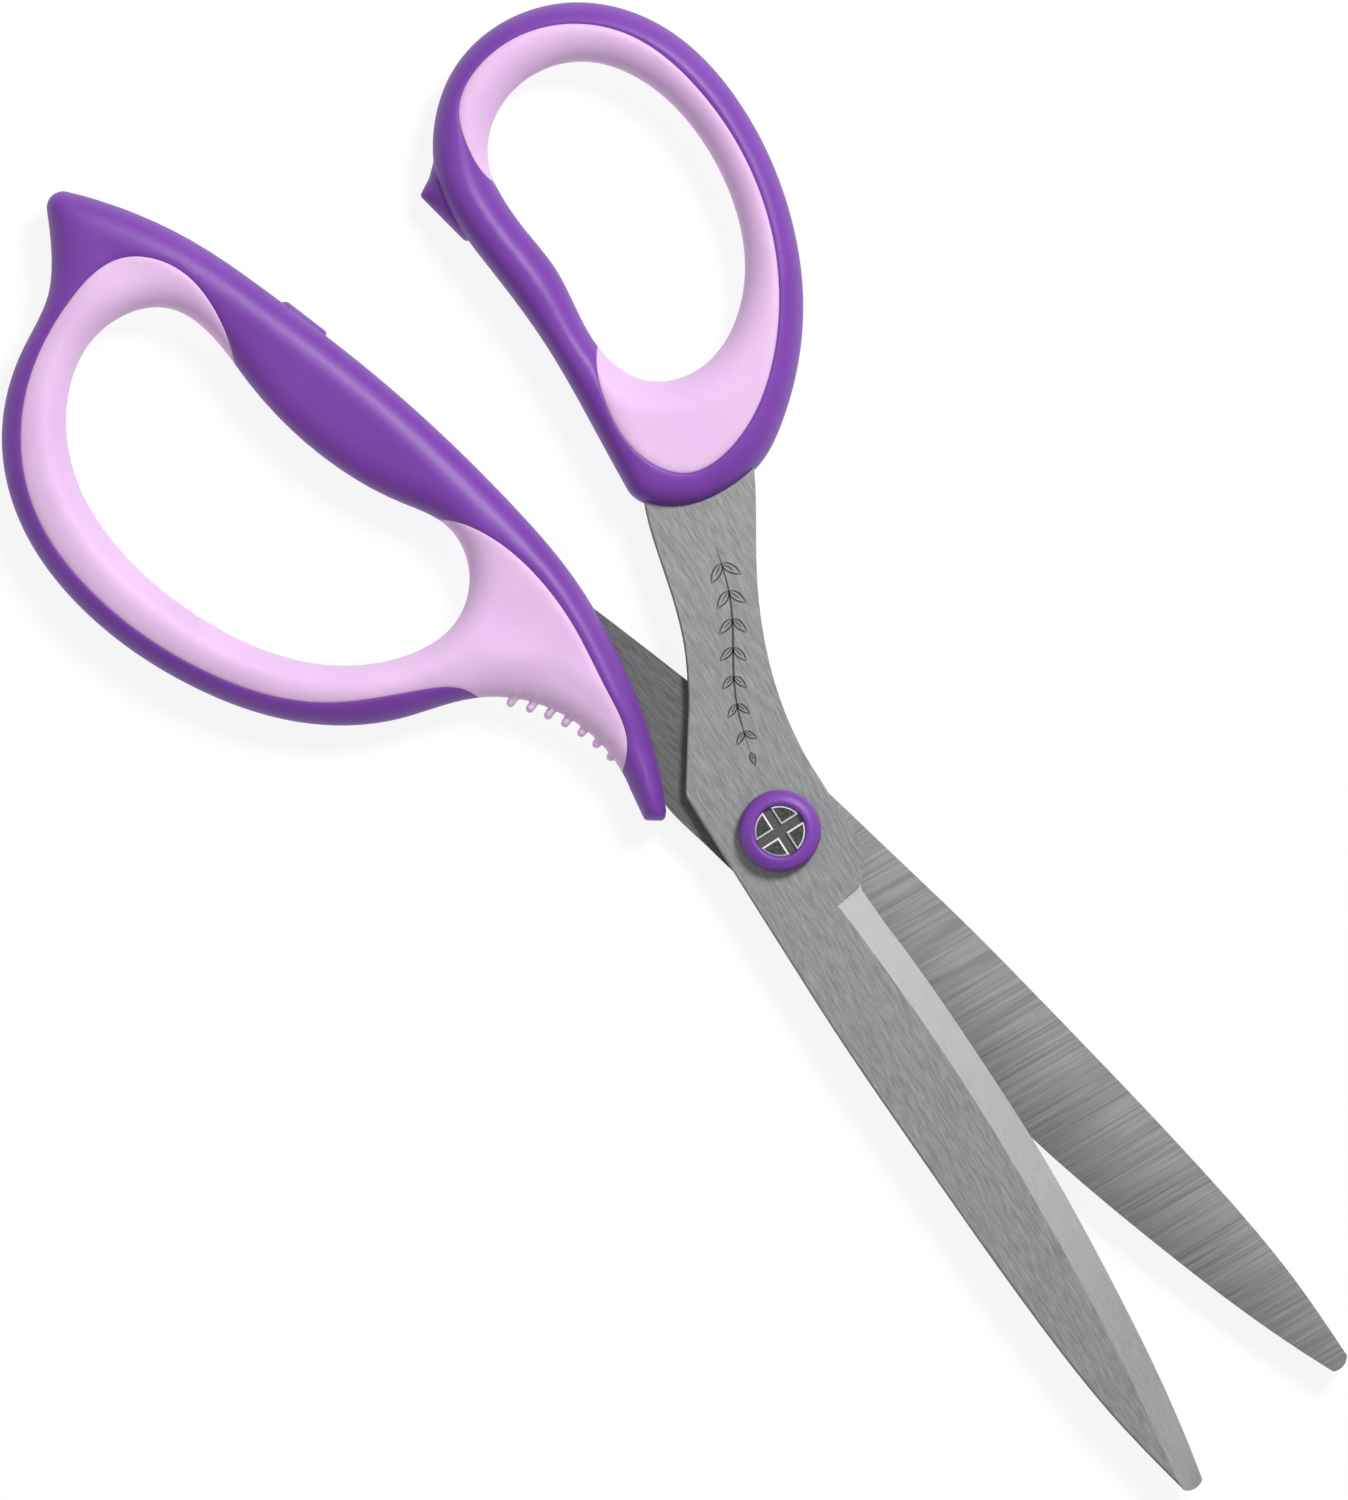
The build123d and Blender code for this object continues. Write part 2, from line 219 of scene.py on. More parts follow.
def outlines(hard, soft):
    """Outer outline, finger hole and the parting line between hard and soft plastic, finely sampled."""
    hard_loops = [dense(loop, FINE) for loop in section_loops(hard, SECTION_Z)]
    soft_loops = [dense(loop, FINE) for loop in section_loops(soft, SECTION_Z)]
    edges, partings = [], []
    for loops, others in ((hard_loops, soft_loops), (soft_loops, hard_loops)):
        for loop in loops:
            shared = cleaned(loop_distance(loop, others) < SHARED_GAP, SHORTEST_RUN)
            for flag, where in runs(shared):
                if not flag:
                    edges.append(loop[where])
                elif loops is soft_loops:
                    partings.append(loop[where])
    rims = [softened(dense(loop, FINE), RIM_SOFT, FINE) for loop in joined(edges)]
    rims.sort(key=lambda loop: -np.ptp(loop[:, 0]))
    outer, hole = rims[:2]
    lines = [softened(dense(line, FINE, closed=False), SEAM_SOFT, FINE, closed=False) for line in partings]
    return outer, hole, lines


def area(loop):
    """Signed area of a closed loop, positive when it runs counterclockwise."""
    x, y = loop[:, 0], loop[:, 1]
    return 0.5 * float((x * np.roll(y, -1) - y * np.roll(x, -1)).sum())


def inside(points, loop):
    """Whether each point lies inside a closed loop."""
    x, y = points[:, 0], points[:, 1]
    found = np.zeros(len(points), bool)
    for (x1, y1), (x2, y2) in zip(loop, np.roll(loop, -1, axis=0)):
        crosses = (y1 > y) != (y2 > y)
        if crosses.any():
            edge_x = x1 + (y - y1) * (x2 - x1) / ((y2 - y1) or 1e-12)
            found ^= crosses & (x < edge_x)
    return found


def within(points, rims):
    """Whether each point lies inside the first outline and outside the others."""
    found = inside(points, rims[0])
    for hole in rims[1:]:
        found &= ~inside(points, hole)
    return found


def thinned(loop, closed=True):
    """Points picked along a fine line: close where it bends, further apart where it is straight."""
    ahead = np.roll(loop, -1, axis=0) - loop
    heading = np.unwrap(np.arctan2(ahead[:, 1], ahead[:, 0]))
    picked = [0]
    count = len(loop) if closed else len(loop) - 1
    for i in range(1, count):
        far = (i - picked[-1]) * FINE
        bends = abs(heading[i] - heading[picked[-1]]) > STEP_TURN
        if far >= WIDEST_STEP or (bends and far > NARROWEST_STEP):
            picked.append(i)
    if not closed:
        picked.append(len(loop) - 1)
    return loop[picked]


# Rounded handle shells. Their mesh has rings at these depths inside an outline, rows at these steps beside
# the parting line, and a grid of points between them
RING_DEPTHS = (0.05, 0.14, 0.28, 0.48, 0.75, 1.1, 1.55, 2.1, 2.8)
SEAM_STEPS = (0.1, 0.22, 0.4)
GRID_STEP = 0.7
GRID_ROW = 0.866 * GRID_STEP

# Least gaps in that mesh: seam points from a rim, rows from a rim, rings from a seam, grid from a rim, and
# grid points from other points
SEAM_CLEAR = 0.2
SEAM_RIM_GAP = 0.3
RING_SEAM_GAP = 0.16
GRID_RIM_GAP = 0.8
GRID_SPACE = 0.45

# The same for rows and rings, as shares of their own step or depth, and the limits of a ring's spacing
ROW_CLEAR = 0.9
ROW_SPACE = 0.6
RING_CLEAR = 0.93
RING_SPACE = 0.5
RING_SPACE_LEAST = 0.035
RING_SPACE_MOST = 0.32

# Size of the squares in which points are looked up, passes that split chords, and how near to a rim is on it
CELL = 0.5
CHORD_PASSES = 4
ON_RIM = 1e-3

# Groove along the parting line
SEAM_WIDTH = 0.16
SEAM_DEPTH = 0.22

# Distance from a rim: plain up to the first reach, smooth past the second, which is counted from the first
PLAIN_REACH = 0.35
MIX_REACH = 0.8
SMOOTH_STEP = 0.2

# Powers that shape a rounded edge
DOME_IN = 2.5
DOME_OUT = 0.48


def eased(values, start, end):
    """Smooth step from 0 at one value to 1 at another."""
    t = np.clip((values - start) / (end - start), 0, 1)
    return t * t * (3 - 2 * t)


def smooth_distance(points, loop):
    """Distance to a closed loop that has no creases where two sides are equally near."""
    fine = dense(loop, SMOOTH_STEP)
    piece = np.linalg.norm(np.roll(fine, -1, axis=0) - fine, axis=1)
    middle = (np.roll(fine, -1, axis=0) + fine) / 2
    total = np.zeros(len(points))
    for low in range(0, len(points), BATCH):
        gap2 = ((points[low:low + BATCH, None, :] - middle) ** 2).sum(2)
        total[low:low + BATCH] = (piece / np.maximum(gap2, 1e-4) ** 2).sum(1)
    soft = (math.pi / 2 / total) ** (1 / 3)
    plain = loop_distance(points, [loop])
    mix = eased((plain - PLAIN_REACH) / MIX_REACH, 0, 1)
    return plain * (1 - mix) + soft * mix


def dome(distance, radius):
    """Height share of a rounded edge, flat from the radius inward, with no sudden change of curve."""
    return (1 - np.clip(1 - distance / radius, 0, 1) ** DOME_IN) ** DOME_OUT


def mesh_points(rims, seams):
    """Points and fixed edges for a handle's face: outlines, seams, rings inside them and a grid."""
    fixed = []
    points = []
    for rim in rims:
        first = len(points)
        points.extend(rim)
        fixed.extend((first + i, first + (i + 1) % len(rim)) for i in range(len(rim)))
    rim_points = np.array(points)
    seam_lines = []
    for seam in seams:
        line = thinned(seam, closed=False)
        ends = [int(np.argmin(np.linalg.norm(rim_points - line[k], axis=1))) for k in (0, -1)]
        clear = loop_distance(line, rims) > SEAM_CLEAR
        inner = [p for p, ok in zip(line[1:-1], clear[1:-1]) if ok]
        first = len(points)
        points.extend(inner)
        chain = [ends[0], *range(first, first + len(inner)), ends[1]]
        fixed.extend(zip(chain[:-1], chain[1:]))
        seam_lines.append(np.array([points[i] for i in chain]))
    taken = {}

    def cell(p):
        return int(math.floor(p[0] / CELL)), int(math.floor(p[1] / CELL))

    def add(p, space):
        cx, cy = cell(p)
        for i in (-1, 0, 1):
            for j in (-1, 0, 1):
                for q in taken.get((cx + i, cy + j), ()):
                    if (p[0] - q[0]) ** 2 + (p[1] - q[1]) ** 2 < space * space:
                        return
        taken.setdefault((cx, cy), []).append(p)
        points.append(p)

    for p in points:
        taken.setdefault(cell(p), []).append(p)
    nowhere = np.full((1, 2), 1e3)
    seam_starts = np.vstack([nowhere] + [line[:-1] for line in seam_lines])
    seam_ends = np.vstack([nowhere] + [line[1:] for line in seam_lines])
    for line in seam_lines:
        ahead = np.gradient(line, axis=0)
        side = np.column_stack([-ahead[:, 1], ahead[:, 0]]) / np.linalg.norm(ahead, axis=1)[:, None]
        for step in SEAM_STEPS:
            for sign in (1, -1):
                moved = line + sign * step * side
                ok = loop_distance(moved, rims) > SEAM_RIM_GAP
                ok &= segment_distance(moved, seam_starts, seam_ends) > ROW_CLEAR * step
                for p in moved[ok]:
                    add(p, ROW_SPACE * step)
    for depth in RING_DEPTHS:
        for rim, facing in zip(rims, (1, -1)):
            ahead = np.roll(rim, -1, axis=0) - np.roll(rim, 1, axis=0)
            side = np.column_stack([-ahead[:, 1], ahead[:, 0]]) / np.linalg.norm(ahead, axis=1)[:, None]
            sign = facing if area(rim) > 0 else -facing
            moved = rim + sign * depth * side
            ok = loop_distance(moved, rims) > RING_CLEAR * depth
            ok &= segment_distance(moved, seam_starts, seam_ends) > RING_SEAM_GAP
            for p in moved[ok]:
                add(p, min(RING_SPACE_MOST, max(RING_SPACE_LEAST, RING_SPACE * depth)))
    low, high = rims[0].min(0), rims[0].max(0)
    across = np.arange(low[0], high[0], GRID_STEP)
    up = np.arange(low[1], high[1], GRID_ROW)
    grid = np.array([(x + (k % 2) * GRID_STEP / 2, y) for k, y in enumerate(up) for x in across])
    grid = grid[within(grid, rims)]
    for p in grid[loop_distance(grid, rims) > GRID_RIM_GAP]:
        add(p, GRID_SPACE)
    return np.array(points), fixed


def filled(rims, seams):
    """Points and triangles that fill the area between outlines, with no edge that spans from rim to rim."""
    points, fixed = mesh_points(rims, seams)
    for _ in range(CHORD_PASSES):
        verts, _, faces, *_ = delaunay_2d_cdt([Vector(p) for p in points], fixed, [], 0, 1e-7)
        flat = np.array([(v.x, v.y) for v in verts])
        tris = np.array([f for f in faces if len(f) == 3])
        tris = tris[within(flat[tris].mean(1), rims)]
        on_rim = loop_distance(flat, rims) < ON_RIM
        ends = np.sort(np.vstack([tris[:, [0, 1]], tris[:, [1, 2]], tris[:, [2, 0]]]), axis=1)
        ends, uses = np.unique(ends, axis=0, return_counts=True)
        chords = ends[(uses == 2) & on_rim[ends].all(1)]
        if not len(chords):
            break
        points = np.vstack([points, flat[chords].mean(1)])
    return flat, tris


def handle_shells(hard, soft, shape):
    """Two closed meshes, hard shell and soft grip, with rounded edges and a fine groove between them."""
    outer, hole, seams = outlines(hard, soft)
    rims = [thinned(outer), thinned(hole)]
    flat, tris = filled(rims, seams)
    is_soft = np.zeros(len(tris), bool)
    for loop in section_loops(soft, SECTION_Z):
        is_soft ^= inside(flat[tris].mean(1), loop)
    seam_starts = np.vstack([s[:-1] for s in seams])
    seam_ends = np.vstack([s[1:] for s in seams])
    seam_gap = segment_distance(flat, seam_starts, seam_ends)
    share = shape(flat, rims)
    half = share * (HANDLE_HALF - SEAM_DEPTH * np.exp(-(seam_gap / SEAM_WIDTH) ** 2))
    levels = HANDLE_MID + half, HANDLE_MID - half
    on_rim = loop_distance(flat, rims) < ON_RIM
    hard_mesh = closed_shell(hard, flat, tris[~is_soft], levels, on_rim)
    soft_mesh = closed_shell(soft, flat, tris[is_soft], levels, on_rim)
    return hard_mesh, soft_mesh, rims


def closed_shell(name, flat, tris, levels, on_rim):
    """Mesh of the triangles at two levels, joined midway on the outlines and by walls at a seam."""
    work = bmesh.new()
    high, deep = levels
    top, low = {}, {}
    for i in np.unique(tris).tolist():
        x, y = flat[i] * MM
        if on_rim[i]:
            top[i] = low[i] = work.verts.new((x, y, (high[i] + deep[i]) / 2 * MM))
        else:
            top[i] = work.verts.new((x, y, high[i] * MM))
            low[i] = work.verts.new((x, y, deep[i] * MM))
    sides = set()
    for a, b, c in tris.tolist():
        ahead, across = flat[b] - flat[a], flat[c] - flat[a]
        if ahead[0] * across[1] - ahead[1] * across[0] < 0:
            b, c = c, b
        if not (on_rim[a] and on_rim[b] and on_rim[c]):
            work.faces.new((top[a], top[b], top[c])).smooth = True
            work.faces.new((low[a], low[c], low[b])).smooth = True
        for edge in ((a, b), (b, c), (c, a)):
            if edge[::-1] in sides:
                sides.remove(edge[::-1])
            else:
                sides.add(edge)
    for a, b in sorted(sides):
        wall = list(dict.fromkeys((top[b], top[a], low[a], low[b])))
        if len(wall) > 2:
            work.faces.new(wall)
    return finished(name, work)


def finished(name, work):
    """Mesh made from an edit mesh, which is freed."""
    mesh = bpy.data.meshes.new(name)
    work.to_mesh(mesh)
    work.free()
    return mesh


# Stops on the two handles: how far outline samples and CAD corners stand out from the rim to be a stop's,
# easing of its outline, reach past the merge and depth below the handle's surface, and least half thickness
STOP_LINE_OUT = 0.05
STOP_CORNER_OUT = 0.3
STOP_SOFT = 0.2
STOP_SPARE = 0.4
STOP_SUNK = 0.12
STOP_THINNEST = 0.05

# Each stop's own radius of edge, half height, swelling at its foot, and depth of merge
FINGER_STOP = {"arc": 6.5, "height": 4.6, "fillet": 0.0, "merge": 3.2}
THUMB_STOP = {"arc": 2.2, "height": 2.3, "fillet": 0.9, "merge": 1.4}


def stop_line(node, outer):
    """The stretch of a handle's outline that stands out past its rim, low down, where it has a stop."""
    longest = np.empty((0, 2))
    for loop in section_loops(node, STOP_SECTION_Z):
        loop = dense(loop, FINE)
        out = ~inside(loop, outer) & (loop_distance(loop, [outer]) > STOP_LINE_OUT)
        for flag, where in runs(cleaned(out, SHORTEST_RUN)):
            if flag and len(where) > len(longest):
                longest = loop[where]
    return thinned(softened(longest, STOP_SOFT, FINE, closed=False), closed=False)


def stop_levels(node, outer):
    """Lowest and highest level of a stop."""
    corners = np.array([v.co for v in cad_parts[node].data.vertices]) / MM
    flat = corners[:, :2]
    out = ~inside(flat, outer) & (loop_distance(flat, [outer]) > STOP_CORNER_OUT)
    return corners[out, 2].min(), corners[out, 2].max()


def stop_mesh(node, rims, shape, arc, height, fillet, merge):
    """Closed mesh of a stop: domed to its own edge, then merged into the handle's surface."""
    outer = rims[0]
    line = stop_line(node, outer)
    low, high = stop_levels(node, outer)
    chord = line[-1] - line[0]
    inward = np.array([-chord[1], chord[0]]) / np.linalg.norm(chord)
    if (line.mean(0) - line[0]) @ inward > 0:
        inward = -inward
    reach = merge + STOP_SPARE
    root = dense(line[[-1, 0]] + reach * inward, WIDEST_STEP, closed=False)
    rim = np.vstack([line, root])
    flat, tris = filled([rim], [])
    edge = segment_distance(flat, line[:-1], line[1:])
    held = inside(flat, outer)
    away = loop_distance(flat, [outer])
    body = np.where(held, shape(flat, rims) * HANDLE_HALF - STOP_SUNK, 0)
    blend = eased(np.where(held, away, 0), 0, merge)
    foot = fillet * np.exp(-np.where(held, 0, away) ** 2)
    half = dome(edge, arc) * (height + foot) * (1 - blend) + body * blend
    middle = (low + high) / 2 * (1 - blend) + HANDLE_MID * blend
    half = np.maximum(half, STOP_THINNEST)
    on_rim = loop_distance(flat, [rim]) < ON_RIM
    return closed_shell(node + "_stop", flat, tris, (middle + half, middle - half), on_rim)


# Front collar: its section from the bore outwards, as shares of width and height, and its gap to the screw
COLLAR_PROFILE = (
    (0.0, 0.0), (0.0, 0.9), (0.08, 0.97), (0.2, 1.0), (0.34, 0.985), (0.48, 0.95), (0.62, 0.905),
    (0.74, 0.85), (0.85, 0.76), (0.93, 0.64), (0.98, 0.48), (1.0, 0.3), (1.0, 0.0),
)
COLLAR_SIDES = 96
SCREW_GAP = 0.05


def collar_mesh(node, bore):
    """Domed ring: its crest is near the screw and its face falls away towards its outer edge."""
    low, high = (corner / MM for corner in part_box(node))
    radius = (high.x - low.x) / 2
    centre = (low + high) / 2
    work = bmesh.new()
    rings = []
    for k in range(COLLAR_SIDES):
        turn = 2 * math.pi * k / COLLAR_SIDES
        ring = []
        for share, lift in COLLAR_PROFILE:
            r = bore + share * (radius - bore)
            z = low.z + lift * (high.z - low.z)
            point = Vector((centre.x + r * math.cos(turn), centre.y + r * math.sin(turn), z))
            ring.append(work.verts.new(point * MM))
        rings.append(ring)
    for ring, ahead in zip(rings, rings[1:] + rings[:1]):
        for i in range(len(ring)):
            j = (i + 1) % len(ring)
            work.faces.new((ring[i], ring[j], ahead[j], ahead[i])).smooth = j > 1
    return finished("collar_dome", work)


# Ornament etched in the thumb blade's tang: a stem with paired leaves
STEM_START = np.array((-40.0, 14.4))
STEM_END = np.array((-12.0, 2.6))
STEM_WAVE = 0.8
STEM_POINTS = 60
LEAF_PAIRS = 7
LEAF_POINTS = 13
LEAF_LENGTH = 3.5
LEAF_HALF_WIDTH = 0.62
LEAF_BELLY = 0.8
LEAF_ANGLE = math.radians(44)
VEIN_REACH = 0.62
STROKE_WIDTH = 0.26
STROKE_PROUD = 0.012
STROKE_DEPTH = 0.05

# Widths of the stem and a vein as shares of an outline's; where the leaves stand along the stem; how much
# smaller they grow, and the end leaf's share of a full one
STEM_SHARE = 1.3
VEIN_SHARE = 0.7
FIRST_LEAF = 0.1
LEAF_SPREAD = 0.8
LEAF_SHRINK = 0.4
END_LEAF = 0.6


def turned(points, angle):
    """Points turned about the pivot."""
    c, s = math.cos(angle), math.sin(angle)
    return points @ np.array(((c, s), (-s, c)))


def stroke(work, line, width):
    """Thin closed strip along a line, pointed at both ends."""
    ahead = np.gradient(line, axis=0)
    side = np.column_stack([-ahead[:, 1], ahead[:, 0]]) / np.linalg.norm(ahead, axis=1)[:, None]
    taper = np.sqrt(np.sin(np.linspace(0, math.pi, len(line))).clip(0))
    levels = (THUMB_TOP + STROKE_PROUD, THUMB_TOP - STROKE_DEPTH)
    rows = []
    for i, (point, across, share) in enumerate(zip(line, side, taper)):
        signs = (0,) if i in (0, len(line) - 1) else (-1, 1)
        row = []
        for level in levels:
            for sign in signs:
                x, y = point + sign * share * width / 2 * across
                row.append(work.verts.new((x * MM, y * MM, level * MM)))
        rows.append(row if len(row) == 4 else [row[0], row[0], row[1], row[1]])
    for (a, b, c, d), (e, f, g, h) in zip(rows[:-1], rows[1:]):
        for corners in ((a, e, f, b), (c, d, h, g), (b, f, h, d), (a, c, g, e)):
            work.faces.new(list(dict.fromkeys(corners)))


def leaf(work, base, angle, length):
    """Outline of a leaf and its middle vein."""
    t = np.linspace(0, 1, LEAF_POINTS)
    bulge = LEAF_HALF_WIDTH * length / LEAF_LENGTH * np.sin(math.pi * t ** LEAF_BELLY)
    for sign, reach, width in ((-1, 1.0, 1.0), (0, VEIN_REACH, VEIN_SHARE), (1, 1.0, 1.0)):
        line = np.column_stack([t * length * reach, sign * bulge])
        stroke(work, turned(turned(line, angle) + base, -REST_TURN), STROKE_WIDTH * width)


def sprig_mesh():
    """Stem with pairs of leaves that grow smaller, and one leaf at its end."""
    work = bmesh.new()
    along = STEM_END - STEM_START
    reach = np.linalg.norm(along)
    heading = math.atan2(along[1], along[0])
    t = np.linspace(0, 1, STEM_POINTS)
    wave = STEM_WAVE * np.sin(2 * math.pi * t)
    stem = turned(np.column_stack([t * reach, wave]), heading) + STEM_START
    stroke(work, turned(stem, -REST_TURN), STEM_SHARE * STROKE_WIDTH)
    for k in range(LEAF_PAIRS):
        at = FIRST_LEAF + LEAF_SPREAD * k / (LEAF_PAIRS - 1)
        i = int(at * (len(t) - 1))
        ahead = stem[i + 1] - stem[i - 1]
        lean = math.atan2(ahead[1], ahead[0])
        length = LEAF_LENGTH * (1 - LEAF_SHRINK * at)
        for sign in (-1, 1):
            leaf(work, stem[i], lean + sign * LEAF_ANGLE, length)
    ahead = stem[-1] - stem[-3]
    leaf(work, stem[-1], math.atan2(ahead[1], ahead[0]), END_LEAF * LEAF_LENGTH)
    return finished("etched_sprig", work)


def piece(name, mesh, material, body, slot, *nodes):
    """Object for a mesh, which rides on a body and stands for CAD nodes."""
    made = bpy.data.objects.new(name, mesh)
    bpy.context.scene.collection.objects.link(made)
    mesh.materials.clear()
    mesh.materials.append(material)
    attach(made, body)
    if nodes:
        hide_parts(*nodes)
    return made


# Materials. Each pair of colours is the darkest and lightest of a surface, in linear red, green and blue.
PURPLE = (0.172, 0.042, 0.352), (0.198, 0.051, 0.39)
PINK = (0.73, 0.485, 0.77), (0.78, 0.535, 0.81)
# The screw's and nut's greys are painted reflection: dark faces and lighter slots, with near-white edges as a
# painted highlight
SCREW_FACE_PAINTED_DARK = (0.05, 0.054, 0.05), (0.15, 0.16, 0.15)
SCREW_SLOT = (0.12, 0.12, 0.118), (0.2, 0.2, 0.195)
SCREW_EDGE_PAINTED_HIGHLIGHT = (0.92, 0.92, 0.9), (0.97, 0.97, 0.95)
ETCHED = (0.035, 0.035, 0.03), (0.07, 0.07, 0.062)
FLOOR_PAPER = (0.12, 0.12, 0.12), (0.14, 0.14, 0.14)

# Bare steel: darkest and lightest grey, stretch of the streaks along and across them, and roughness
OUTER_SHADE = (0.26, 0.40)
THUMB_INNER_SHADE = (0.25, 0.39)
FINGER_INNER_SHADE = (0.25, 0.40)
BEVEL_SHADE = (0.26, 0.33)
# The finger blade's tang is painted darker: painted shade where it lies in the thumb blade's shadow
TANG_PAINTED_SHADE = (0.12, 0.21)
BRUSHED = (450, 4600)
GROUND = (3200, 60)
BRUSHED_ROUGH = 0.5
BEVEL_ROUGH = 0.52
COARSE_SHARE = 0.08

# Way the streaks run, from the blade's length: across it, along it, and along its bevel
GROUND_TURN = 0.28
BRUSHED_TURN = 0.05
BEVEL_TURN = 0.02

# A normal's height on a blade's flat face and on its bevel
FLAT_NORMAL = 0.985
BEVEL_NORMAL = 0.2

# The finger blade's inner face has painted shade, darker towards its edge and lighter on its spine: places
# across the blade and shares of light
EDGE_PAINTED_SHADE = (0.1, 0.62)
SPINE_PAINTED_SHADE = (0.75, 1)

# Depth below the screw's top from which its slots count as deep
SLOT_DEPTH = 0.3

# Scales of each surface's noise, its roughness as the grain's share and a start, and its bump as a strength
# and a distance in metres
HARD_CLOUD, HARD_GRAIN = 60, 2600
HARD_ROUGH = (0.12, 0.39)
HARD_BUMP = (0.12, 0.00006)
SOFT_CLOUD, SOFT_GRAIN = 80, 3400
SOFT_ROUGH = (0.15, 0.48)
SOFT_BUMP = (0.15, 0.00006)
STEEL_ROUGH_SHARE = 0.1
STEEL_BUMP = (0.15, 0.00003)
SCREW_GRAIN, SCREW_FINE = 2200, 6000
SCREW_ROUGH = (0.25, 0.28)
SCREW_BUMP = (0.3, 0.00005)
ETCHED_GRAIN = 5000
ETCHED_ROUGH = (0.2, 0.55)
ETCHED_BUMP = (0.3, 0.00003)
FLOOR_CLOUD = 3


class Nodes:
    """Short hand for building a shader tree."""

    def __init__(self, name):
        self.material = bpy.data.materials.new(name)
        self.material.use_nodes = True
        self.tree = self.material.node_tree
        self.shader = self.tree.nodes["Principled BSDF"]

    def add(self, kind, inputs=(), **settings):
        node = self.tree.nodes.new(kind)
        for key, value in settings.items():
            setattr(node, key, value)
        for key, value in dict(inputs).items():
            if isinstance(value, bpy.types.NodeSocket):
                self.tree.links.new(value, node.inputs[key])
            else:
                node.inputs[key].default_value = value
        return node

    def math(self, operation, a, b=0.0):
        return self.add("ShaderNodeMath", {0: a, 1: b}, operation=operation).outputs[0]

    def ramp(self, value, stops):
        node = self.add("ShaderNodeValToRGB", {"Fac": value})
        for k, (place, colour) in enumerate(stops):
            stop = node.color_ramp.elements[k] if k < 2 else node.color_ramp.elements.new(place)
            stop.position = place
            stop.color = (*colour, 1)
        return node.outputs["Color"]

    def blend(self, share, a, b):
        node = self.add("ShaderNodeMix", data_type="RGBA")
        for socket, value in ((node.inputs[0], share), (node.inputs[6], a), (node.inputs[7], b)):
            if isinstance(value, bpy.types.NodeSocket):
                self.tree.links.new(value, socket)
            elif socket.type == "RGBA":
                socket.default_value = (*value, 1)
            else:
                socket.default_value = value
        return node.outputs[2]

    def noise(self, vector, scale, detail=2.0, roughness=0.5):
        inputs = {"Scale": scale, "Detail": detail, "Roughness": roughness}
        if vector is not None:
            inputs["Vector"] = vector
        return self.add("ShaderNodeTexNoise", inputs).outputs["Fac"]

    def place(self, turn=0.0, scale=(1, 1, 1)):
        """Coordinates in the frame's axes, turned about Z and then stretched."""
        coords = self.add("ShaderNodeTexCoord").outputs["Object"]
        spun = self.add("ShaderNodeMapping", {"Vector": coords, "Rotation": (0, 0, turn)})
        return self.add("ShaderNodeMapping", {"Vector": spun.outputs[0], "Scale": scale}).outputs[0]

    def tone(self, value, pair):
        """Colour between the darkest and lightest of a pair."""
        return self.ramp(value, [(0.3, pair[0]), (0.7, pair[1])])

    def scaled(self, value, factor, start):
        """The value times a factor, added to a start."""
        return self.math("ADD", self.math("MULTIPLY", value, factor), start)

    def bump(self, height, strength, distance):
        node = self.add("ShaderNodeBump", {"Height": height, "Strength": strength, "Distance": distance})
        self.set("Normal", node.outputs["Normal"])

    def set(self, key, value):
        if isinstance(value, bpy.types.NodeSocket):
            self.tree.links.new(value, self.shader.inputs[key])
        else:
            self.shader.inputs[key].default_value = value


def hard_plastic():
    """Semi gloss purple moulding with a very fine satin texture."""
    n = Nodes("purple_plastic")
    spot = n.place()
    cloud = n.noise(spot, HARD_CLOUD, 3)
    grain = n.noise(spot, HARD_GRAIN, 3, 0.6)
    n.set("Base Color", n.tone(cloud, PURPLE))
    n.set("Roughness", n.scaled(grain, *HARD_ROUGH))
    n.set("Specular IOR Level", 0.38)
    n.bump(grain, *HARD_BUMP)
    return n.material


def soft_plastic():
    """Soft touch pink grip, satin, with a little light inside it."""
    n = Nodes("pink_grip")
    spot = n.place()
    cloud = n.noise(spot, SOFT_CLOUD, 3)
    grain = n.noise(spot, SOFT_GRAIN, 3, 0.6)
    n.set("Base Color", n.tone(cloud, PINK))
    n.set("Roughness", n.scaled(grain, *SOFT_ROUGH))
    n.set("Subsurface Weight", 0.15)
    n.set("Subsurface Radius", (0.002, 0.0012, 0.002))
    n.set("Subsurface Scale", 0.6)
    n.bump(grain, *SOFT_BUMP)
    return n.material


def brushed(n, turn, scale, shade, rough=BRUSHED_ROUGH):
    """Colour, height and roughness of streaks that run one way: fine and coarse noise, stretched."""
    along, across = scale
    fine = n.noise(n.place(turn, (along, across, along)), 1.0, 2, 0.5)
    broad = n.noise(n.place(turn, (along * 0.35, across * 0.25, along)), 1.0, 1, 0.5)
    mixed = n.scaled(fine, 1 - COARSE_SHARE, n.math("MULTIPLY", broad, COARSE_SHARE))
    return n.tone(mixed, [(grey, grey, grey * 1.01) for grey in shade]), mixed, rough


def steel_surface(n, parts):
    """Bare steel put together from parts: (share, colour, height, roughness) in turn."""
    colour, height, rough = parts[0][1:]
    for share, next_colour, next_height, next_rough in parts[1:]:
        colour = n.blend(share, colour, next_colour)
        height = n.add("ShaderNodeMix", {0: share, 2: height, 3: next_height}).outputs[0]
        rough = n.add("ShaderNodeMix", {0: share, 2: rough, 3: next_rough}).outputs[0]
    n.set("Base Color", colour)
    n.set("Metallic", 1.0)
    n.set("Roughness", n.scaled(height, STEEL_ROUGH_SHARE, rough))
    n.bump(height, *STEEL_BUMP)
    return n.material


def faces(n, sign):
    """Shares of a blade's flat outer face and of its bevel. The sign says whether they look up or down."""
    normal = n.add("ShaderNodeTexCoord").outputs["Normal"]
    up = n.math("MULTIPLY", n.add("ShaderNodeSeparateXYZ", {0: normal}).outputs["Z"], sign)
    flat = n.math("GREATER_THAN", up, FLAT_NORMAL)
    bevel = n.math("SUBTRACT", n.math("GREATER_THAN", up, BEVEL_NORMAL), flat)
    return flat, bevel


